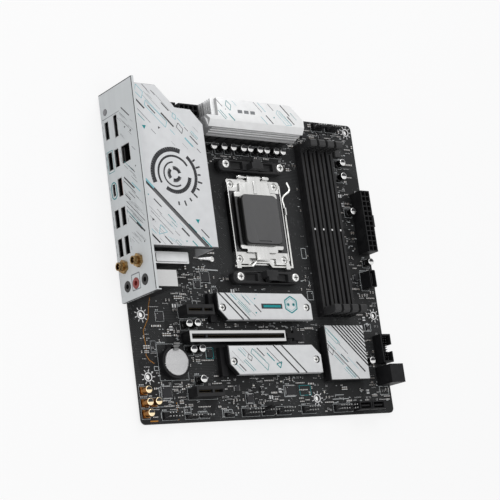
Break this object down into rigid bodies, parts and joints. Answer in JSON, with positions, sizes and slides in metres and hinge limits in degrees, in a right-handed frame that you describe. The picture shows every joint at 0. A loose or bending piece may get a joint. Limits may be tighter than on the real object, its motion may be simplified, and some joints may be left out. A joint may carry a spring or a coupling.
{
  "type": "motherboard",
  "caption": "Micro-ATX computer motherboard with processor socket, memory and expansion slots, white heatsinks, port cover and rear shield.",
  "frame": {"origin": "centre of the rectangle of four board holes (rear and front, top row and second row), on the underside of the board", "axes": "+X to the front edge with the main power connector, +Y to the top edge with the processor power connectors, +Z out of the component side"},
  "size_m": [0.2538, 0.2472, 0.0468],
  "materials": {
    "board_laminate": "matte black solder mask over glass laminate",
    "bright_steel": "bright stamped steel",
    "port_shell_steel": "nickel-plated sheet",
    "printed_shield": "satin pale grey paint with fine printed strokes",
    "white_cover": "satin white paint with grey and teal print",
    "silver_heatsink": "blasted and anodised silver-white",
    "thermal_pad": "soft silicone sheet",
    "ferrite": "moulded ferrite",
    "silver_can": "bright can",
    "gold_can": "gold-tinted can",
    "dark_cap": "fine-textured moulded plastic",
    "cell_steel": "stainless cell case",
    "chip_package": "epoxy moulding",
    "gold_plate": "gold-plated brass",
    "header_pin": "plated pins",
    "button_grey": "moulded grey",
    "black_nylon": "moulded black nylon"
  },
  "bodies": {
    "board": {"antenna_connectors": "gold_plate", "atx_power_connector": "black_nylon", "audio_capacitors": "gold_can", "audio_jack_stack": "black_nylon", "battery": "cell_steel", "battery_holder": "black_nylon", "bracket_screws": "bright_steel", "chipset_heatsink": "silver_heatsink", "chokes": "ferrite", "cooler_bracket_bottom": "black_nylon", "cooler_bracket_top": "black_nylon", "cpu_power_connectors": "black_nylon", "dimm_slot_1": "black_nylon", "dimm_slot_2": "black_nylon", "dimm_slot_3": "black_nylon", "dimm_slot_4": "black_nylon", "flash_button_housing": "black_nylon", "header_pins": "header_pin", "heatsink_screws": "bright_steel", "integrated_circuits": "chip_package", "io_cover": "white_cover", "io_shield": "printed_shield", "lan_usb_stack": "port_shell_steel", "m2_heatsink_lower": "silver_heatsink", "m2_heatsink_upper": "silver_heatsink", "m2_screws_and_standoffs": "bright_steel", "m2_sockets": "black_nylon", "pcb": "board_laminate", "pcie_x16_shield": "port_shell_steel", "pcie_x16_slot": "black_nylon", "pcie_x1_slots": "black_nylon", "pin_headers": "black_nylon", "polymer_capacitors": "silver_can", "sata_ports": "black_nylon", "socket_backplate": "bright_steel", "socket_frame": "bright_steel", "socket_housing": "black_nylon", "socket_screws": "bright_steel", "thermal_pads": "thermal_pad", "usb3_header": "black_nylon", "usb_c_header": "black_nylon", "usb_stacks": "port_shell_steel", "video_ports": "port_shell_steel", "vrm_heatsink_rear": "silver_heatsink", "vrm_heatsink_top": "silver_heatsink", "wifi_module": "port_shell_steel"},
    "load_lever": {"load_lever": "bright_steel"},
    "load_plate": {"load_plate": "bright_steel"},
    "socket_cap": {"socket_cap": "dark_cap"},
    "flash_button": {"flash_button": "button_grey"},
    "pcie_x16_latch": {"pcie_x16_latch": "black_nylon"},
    "battery_clip": {"battery_clip": "bright_steel"},
    "dimm_latch_1_bottom": {"dimm_latch_1_bottom": "black_nylon"},
    "dimm_latch_1_top": {"dimm_latch_1_top": "black_nylon"},
    "dimm_latch_2_bottom": {"dimm_latch_2_bottom": "black_nylon"},
    "dimm_latch_2_top": {"dimm_latch_2_top": "black_nylon"},
    "dimm_latch_3_bottom": {"dimm_latch_3_bottom": "black_nylon"},
    "dimm_latch_3_top": {"dimm_latch_3_top": "black_nylon"},
    "dimm_latch_4_bottom": {"dimm_latch_4_bottom": "black_nylon"},
    "dimm_latch_4_top": {"dimm_latch_4_top": "black_nylon"}
  },
  "joints": [
    {"name": "load_lever_hinge", "type": "hinge", "parent": "board", "child": "load_lever", "pos_m": [0.00317, -0.04061, 0.0038], "axis": [1, 0, 0], "range_deg": [0, 115]},
    {"name": "load_plate_hinge", "type": "hinge", "parent": "board", "child": "load_plate", "pos_m": [0.00317, 0.03079, 0.0061], "axis": [-1, 0, 0], "range_deg": [0, 100]},
    {"name": "socket_cap_lift", "type": "slide", "parent": "load_plate", "child": "socket_cap", "axis": [0, 0, 1], "range_m": [0, 0.008]},
    {"name": "flash_button_press", "type": "slide", "parent": "board", "child": "flash_button", "axis": [1, 0, 0], "range_m": [0, 0.0008], "stiffness_N_per_m": 400, "springref_m": -0.0005},
    {"name": "pcie_x16_latch_hinge", "type": "hinge", "parent": "board", "child": "pcie_x16_latch", "pos_m": [0.01257, -0.09721, 0.005], "axis": [0, 1, 0], "range_deg": [0, 18]},
    {"name": "battery_clip_flex", "type": "hinge", "parent": "board", "child": "battery_clip", "pos_m": [-0.09093, -0.10351, 0.003], "axis": [-1, 0, 0], "range_deg": [0, 12], "stiffness_Nm_per_rad": 0.05},
    {"name": "dimm_latch_1_bottom_swing", "type": "hinge", "parent": "board", "child": "dimm_latch_1_bottom", "pos_m": [0.05747, -0.07691, 0.0058], "axis": [1, 0, 0], "range_deg": [0, 25]},
    {"name": "dimm_latch_1_top_swing", "type": "hinge", "parent": "board", "child": "dimm_latch_1_top", "pos_m": [0.05747, 0.05899, 0.0058], "axis": [-1, 0, 0], "range_deg": [0, 25]},
    {"name": "dimm_latch_2_bottom_swing", "type": "hinge", "parent": "board", "child": "dimm_latch_2_bottom", "pos_m": [0.0665, -0.07691, 0.0058], "axis": [1, 0, 0], "range_deg": [0, 25]},
    {"name": "dimm_latch_2_top_swing", "type": "hinge", "parent": "board", "child": "dimm_latch_2_top", "pos_m": [0.0665, 0.05899, 0.0058], "axis": [-1, 0, 0], "range_deg": [0, 25]},
    {"name": "dimm_latch_3_bottom_swing", "type": "hinge", "parent": "board", "child": "dimm_latch_3_bottom", "pos_m": [0.07554, -0.07691, 0.0058], "axis": [1, 0, 0], "range_deg": [0, 25]},
    {"name": "dimm_latch_3_top_swing", "type": "hinge", "parent": "board", "child": "dimm_latch_3_top", "pos_m": [0.07554, 0.05899, 0.0058], "axis": [-1, 0, 0], "range_deg": [0, 25]},
    {"name": "dimm_latch_4_bottom_swing", "type": "hinge", "parent": "board", "child": "dimm_latch_4_bottom", "pos_m": [0.08457, -0.07691, 0.0058], "axis": [1, 0, 0], "range_deg": [0, 25]},
    {"name": "dimm_latch_4_top_swing", "type": "hinge", "parent": "board", "child": "dimm_latch_4_top", "pos_m": [0.08457, 0.05899, 0.0058], "axis": [-1, 0, 0], "range_deg": [0, 25]}
  ]
}
